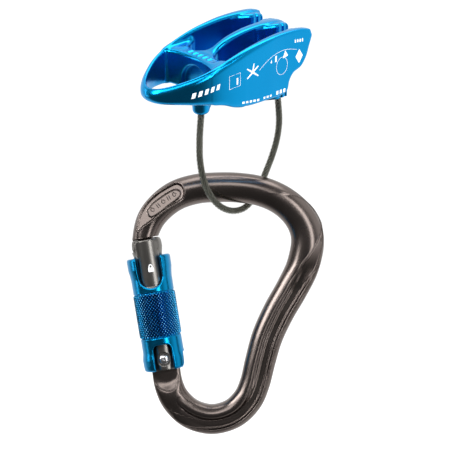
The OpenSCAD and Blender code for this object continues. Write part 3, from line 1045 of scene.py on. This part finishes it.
def build_serration(name, start, end, edges):
    """A fine toothed strip along the frame, on both faces, between two lines across it."""
    coarse = np.linspace(start, end, 60)
    gaps = np.linalg.norm(np.diff(on_frame_line(coarse)[0][:, :2], axis=0), axis=1)
    along = np.concatenate([[0], np.cumsum(gaps)])
    count = int(along[-1] * TOOTH_PARTS / TOOTH_PITCH)
    where = np.linspace(0, along[-1], count)
    u = np.interp(where, along, coarse)
    at, out = on_frame_line(u)
    # The strip has three lines of points across it
    shares = np.array([0, 0.5, 1])
    inner, outer = np.array([edges(a) for a in u]).T
    depths = []
    for a in coarse:
        first, second = edges(a)
        depths.append(depth_at(a, first + (second - first) * shares))
    depths = np.array(depths)
    rings = []
    for k in range(count):
        across = inner[k] + (outer[k] - inner[k]) * shares
        skin = np.array([np.interp(u[k], coarse, column) for column in depths.T])
        tooth = 1 - np.abs(((where[k] + 0.5 * shares) / TOOTH_PITCH % 1) * 2 - 1)
        depth = np.concatenate([skin - TOOTH_ROOT + TOOTH_H * tooth, skin[::-1] - STRIP_ROOT])
        place = across_bar(at[k], out[k], np.concatenate([across, across[::-1]]))
        rings.append(np.stack([place[:, 0], -depth, place[:, 1]], axis=1))
    faces = ring_faces(count, 2 * len(shares))
    strip = make_mesh(name, *joined(on_both_faces(np.vstack(rings), faces)), CARABINER)
    finish_piece(flat_shaded(strip), "carabiner", GUNMETAL, "gunmetal")


# The strip on the spine lies between two points of the spine's section
STRIP_INNER = 21
STRIP_OUTER = 22


def spine_edges(u):
    """The two edges of the spine's toothed strip, as shares across the bar."""
    nodes = section_at(u)
    across = -np.cos(nodes[:, 0]) * nodes[:, 1]
    return across[STRIP_INNER] + 0.02, across[STRIP_OUTER] - 0.02


build_serration("spine_serration", 7.6, 13.4, spine_edges)
build_serration("nose_serration", 22.6, 24.25, lambda u: (0.80, 0.90))


def box_distance(x, y, z, low, high):
    """Distance to a box with rounded edges, negative inside it."""
    parts = [np.maximum(a - q, q - b) for q, a, b in zip((x, y, z), low, high)]
    return round_and(round_and(parts[0], parts[2], 0.8), parts[1], 0.5)


def tongue_field(x, y, z):
    """The tongue under the nose that the gate's head takes in."""
    return box_distance(x, y, z, (-5.2, -2.3, 46.2), (3.3, 2.3, 52))


def build_tongue():
    """The nose's tongue, along the closed gate."""
    tongue = carved("nose_tongue", tongue_field, (-6, -3, 45.4), (4.4, 3, 52.6), 0.25, GATE)
    finish_piece(tongue, "carabiner", GUNMETAL, "gunmetal")


build_tongue()

# ---------------- gate and sleeve
# Heights are above the rivet, along the gate
GATE_H = 50.5
BARREL_R = 5.5
BARREL_TOP = 43
SEAT_Z = 29.3
PANEL_HALF = 4.7
PANEL_R = 6.4
HEAD_FROM = 40.4
HEAD = [[HEAD_FROM, 5.5], [42.5, 5.75], [46.6, 6.6], [48.7, 6.5], [49.8, 6.2], [GATE_H, 5.7]]
CLEVIS_HALF = 3.2
NOSE_SLOT_HALF = 2.7
RIVET_SEAT_R = 2.75
RIVET_HALF = 4.85


def gate_field(x, y, z):
    """The barrel with its clevis, panels and head, less the slot for the nose."""
    r = np.hypot(x, y)
    solid = round_and(r - BARREL_R, np.maximum(-4.6 - z, z - BARREL_TOP), 0.3)
    solid = np.minimum(solid, np.maximum(r - 6.9, np.abs(z - SEAT_Z) - 0.9))
    # Panels on the front and the back, with rounded upper corners
    corner = round_and(np.abs(x) - PANEL_HALF, z - 49.9, 2.0)
    panel = round_and(np.maximum(corner, 30 - z), r - PANEL_R, 0.45)
    head_r = np.interp(z, *np.transpose(HEAD))
    head = round_and(np.maximum(r - head_r, HEAD_FROM - z), z - GATE_H, 0.6)
    head = round_and(head, np.abs(y) - 4.9, 1.0)
    solid = round_or(round_or(solid, head, 0.4), panel, 0.25)
    clevis = np.maximum(np.abs(y) - CLEVIS_HALF, z - 7)
    nose = within(np.abs(y) - NOSE_SLOT_HALF, 45.5 - z, x - 4.1)
    seats = np.maximum(np.hypot(x, z) - RIVET_SEAT_R, RIVET_HALF - np.abs(y))
    solid = round_and(round_and(solid, -clevis, 0.25), -nose, 0.3)
    return round_and(solid, -seats, 0.2)


def build_gate():
    """The grey gate under the sleeve."""
    cell = 0.2
    body = carved("gate_body", gate_field, (-7.6, -7.6, -5.4), (7.6, 7.6, 51.4), cell, GATE)
    finish_piece(body, "gate", GATE_GREY, "gate_grey", "gate_barrel")


build_gate()


def build_rivet():
    """The rivet's shank and its two domed heads."""
    dome_r = 2.12
    half = [(0.02, 0), (1.6, 0), (1.6, RIVET_HALF), (2.1, 4.9), (dome_r, 5.15)]
    dome = [(dome_r * math.cos(a), 5.2 + 0.95 * math.sin(a)) for a in np.linspace(0.08, 1.5, 9)]
    right = half + dome
    left = [(r, -z) for r, z in reversed(right)]
    points, faces = lathe(left[:-1] + right[1:], 40)
    turned = points @ rotation("X", 90).T
    rivet = make_mesh("rivet", turned, faces, GATE)
    finish_piece(rivet, "gate", STEEL, "bright_steel", "hinge_rivet")


build_rivet()


ICON_AT = (0.7, 38.1)
ICON_PROUD = 0.07
ICON_SUNK = 0.1


def on_panel(points, lift):
    """Points (across, up) laid on the gate's front panel."""
    across, up = (points + ICON_AT).T
    return np.stack([across, -np.sqrt((PANEL_R + lift) ** 2 - across ** 2), up], axis=1)


def build_lock_icon():
    """A small padlock on the gate's front panel."""
    edges = np.linspace(-1.1, 1.1, 8)
    outlines = [[[a, -1.5], [b, -1.5], [b, 0.25], [a, 0.25]] for a, b in zip(edges, edges[1:])]
    outlines += stroke(arc((0, 0.25), (0.70, 1.2), 180, 0, 12), 0.38)
    parts = [patch(outline, on_panel, ICON_PROUD, ICON_SUNK) for outline in outlines]
    icon = make_mesh("lock_icon", *joined(parts), GATE)
    finish_piece(flat_shaded(icon), "gate", PRINT, "gate_grey")


build_lock_icon()

# The sleeve's outside as (height, radius)
SLEEVE_LOW = -4.5
SLEEVE_HIGH = 42.9
SLEEVE_OUT = [
    [SLEEVE_LOW, 8.2], [-3.7, 8.85], [-2, 9.0], [0.5, 9.05], [1.8, 8.8], [3, 8.55], [8.4, 8.5], [9.0, 8.6],
    [9.3, 8.0], [27.8, 8.0], [28.1, 8.6], [28.5, 8.5], [34, 8.55], [36.2, 8.8], [38, 9.1], [42.0, 9.15],
    [SLEEVE_HIGH, 8.8],
]
SLEEVE_BORE_R = 7.2
TOP_SLOT_Z = 34.8
TOP_SLOT_HALF = 4.9
SKIRT_HALF = 3.7
SKIRT_TOP = 6.2
RELIEF_TOP = 1.6


def slot_up(x, z, middle, half):
    """A slot that is open upwards and has a round bottom."""
    return np.where(z > middle, np.abs(x) - half, np.hypot(x, z - middle) - half)


def sleeve_field(x, y, z):
    """The sleeve's shell with its upper slot, its skirt slots and a relief at one side."""
    r = np.hypot(x, y)
    outer = np.interp(z, *np.transpose(SLEEVE_OUT))
    ends = np.maximum(SLEEVE_LOW - z, z - SLEEVE_HIGH)
    solid = round_and(round_and(r - outer, ends, 0.45), SLEEVE_BORE_R - r, 0.25)
    # The edges of the slots are bevelled, so each slot widens towards the outside
    bevel = 0.5 * np.clip(r - 8.0, 0, 1.2)
    top = slot_up(x, z, TOP_SLOT_Z, TOP_SLOT_HALF) - bevel
    skirt = round_and(np.abs(x) - SKIRT_HALF, z - SKIRT_TOP, 2.0) - bevel
    relief = np.maximum(round_and(np.abs(y) - SKIRT_HALF, z - RELIEF_TOP, 2.0), -x) - bevel
    for cut in (top, skirt, relief):
        solid = round_and(solid, -cut, 0.3)
    return solid


def build_sleeve():
    """The blue locking sleeve without its knurl."""
    cell = 0.25
    shell = carved("sleeve_shell", sleeve_field, (-9.9, -9.9, -5.2), (9.9, 9.9, 43.6), cell, GATE)
    finish_piece(shell, "sleeve", SLEEVE_BLUE, "sleeve_blue", "lock_sleeve")


build_sleeve()


KNURL_AROUND = 40
KNURL_ROWS = 12
KNURL_FINE = 8
KNURL_Z = (9.25, 27.85)
KNURL_ROOT_R = 8.12
KNURL_INNER_R = 7.8
POINT_H = 0.95
POINT_TOP = 0.75
# Knurl faces lower than this get the painted shade
PAINTED_SHADE_BELOW = 0.2
# Knurl faces higher than this get the painted highlight
PAINTED_HIGHLIGHT_ABOVE = 0.5


def build_knurl():
    """A band of small four-sided points round the sleeve's middle; its grooves carry painted shade and its
    tips a painted highlight.
    """
    sides = KNURL_AROUND * KNURL_FINE
    rings = KNURL_ROWS * KNURL_FINE + 1
    b, a = np.meshgrid(np.arange(rings) / KNURL_FINE, np.arange(sides) / KNURL_FINE, indexing="ij")
    up = 1 - np.abs(((a + b) % 1) * 2 - 1)
    down = 1 - np.abs(((a - b) % 1) * 2 - 1)
    height = POINT_H * np.minimum(np.minimum(up, down), POINT_TOP)
    fade = np.minimum(1, np.minimum(b, KNURL_ROWS - b) / 0.5)
    radius = KNURL_ROOT_R + height * fade
    low, high = KNURL_Z
    z = low + (high - low) * b / KNURL_ROWS
    inner = np.full((2, sides), KNURL_INNER_R)
    radius = np.vstack([radius, inner])
    z = np.vstack([z, np.full(sides, high), np.full(sides, low)])
    angle = 2 * math.pi * a[0] / KNURL_AROUND
    points = np.stack([radius * np.cos(angle), radius * np.sin(angle), z], axis=2).reshape(-1, 3)
    band = make_mesh("sleeve_knurl", points, ring_faces(rings + 2, sides, closed=True), GATE)
    finish_piece(flat_shaded(band), "sleeve", SLEEVE_BLUE, "sleeve_blue", "lock_sleeve")
    band.data.materials.append(PAINTED_SHADE_BLUE)
    band.data.materials.append(PAINTED_HIGHLIGHT_BLUE)
    heights = np.concatenate([height.ravel(), np.zeros(2 * sides)])
    # Painted shade in the knurl's grooves and a painted highlight on its tips, chosen by each face's height
    for polygon in band.data.polygons:
        level = heights[list(polygon.vertices)].mean()
        polygon.material_index = 1 if level < PAINTED_SHADE_BELOW else 2 if level > PAINTED_HIGHLIGHT_ABOVE else 0


build_knurl()

# ---------------- carried-over CAD nodes
KEPT = {
    "front_ferrule": STEEL, "rear_ferrule": STEEL, "gate_spring": SPRING_STEEL, "gate_plunger": STEEL,
    "guide_ring": BRONZE, "guide_pin": STEEL, "retaining_ring": SPRING_STEEL, "sleeve_spring": SPRING_STEEL,
}
for node, material in KEPT.items():
    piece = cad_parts[node]
    piece.data.materials.clear()
    piece.data.materials.append(material)


# ---------------- stage and light
FLOOR_HALF = 6.0
FLOOR_GAP = 0.012


def build_floor():
    """A plain pale floor just under the set, left out of the reflections."""
    z = CAD_BOX[0][2] - FLOOR_GAP
    corners = [(x * FLOOR_HALF, y * FLOOR_HALF, z) for x, y in ((-1, -1), (1, -1), (1, 1), (-1, 1))]
    mesh = bpy.data.meshes.new("floor")
    mesh.from_pydata(corners, [], [(0, 1, 2, 3)])
    floor = placed("floor", mesh)
    floor.data.materials.append(pale_floor())
    floor.visible_glossy = False


build_floor()


MIDDLE = Vector((0.022, 0.03, -0.06))


def softbox(name, at, size, power):
    """A soft rectangular light that faces the middle of the set."""
    data = bpy.data.lights.new(name, "AREA")
    data.shape = "RECTANGLE"
    data.size, data.size_y = size
    data.energy = power
    light = placed(name, data)
    light.location = at
    light.rotation_euler = (MIDDLE - Vector(at)).to_track_quat("-Z", "Y").to_euler()


softbox("right_front", (0.52, -0.80, 0.05), (0.26, 0.95), 3.6)
softbox("left_high", (-0.75, -0.62, 0.38), (0.30, 0.60), 5)
softbox("front_high", (-0.20, -0.92, 0.42), (0.80, 0.32), 2.4)
softbox("top", (0.05, -0.10, 0.95), (1.0, 0.5), 4)
softbox("left_edge", (-0.95, 0.10, 0.1), (0.2, 0.9), 1.2)


def build_world():
    """White all round for the eye and for soft light, and a darker front side for reflections."""
    world = bpy.data.worlds.new("studio")
    bpy.context.scene.world = world
    world.use_nodes = True
    tree = world.node_tree
    tree.nodes.clear()
    place = tree.nodes.new("ShaderNodeTexCoord")
    way = tree.nodes.new("ShaderNodeVectorMath")
    way.operation = "DOT_PRODUCT"
    way.inputs[1].default_value = (0.35, 0.85, 0.15)
    front = spread(tree, way.outputs["Value"], 0.08, 0.93, (-0.42, 0.30), "SMOOTHSTEP")
    kind = tree.nodes.new("ShaderNodeLightPath")
    mix = tree.nodes.new("ShaderNodeMix")
    mix.data_type = "FLOAT"
    mix.inputs["A"].default_value = 1.12
    back = tree.nodes.new("ShaderNodeBackground")
    out = tree.nodes.new("ShaderNodeOutputWorld")
    tree.links.new(place.outputs["Generated"], way.inputs[0])
    tree.links.new(front, mix.inputs["B"])
    tree.links.new(kind.outputs["Is Glossy Ray"], mix.inputs["Factor"])
    tree.links.new(mix.outputs["Result"], back.inputs["Strength"])
    tree.links.new(back.outputs["Background"], out.inputs["Surface"])
    back.inputs["Color"].default_value = (1, 1, 1, 1)


build_world()
bpy.context.scene.view_settings.view_transform = "Standard"
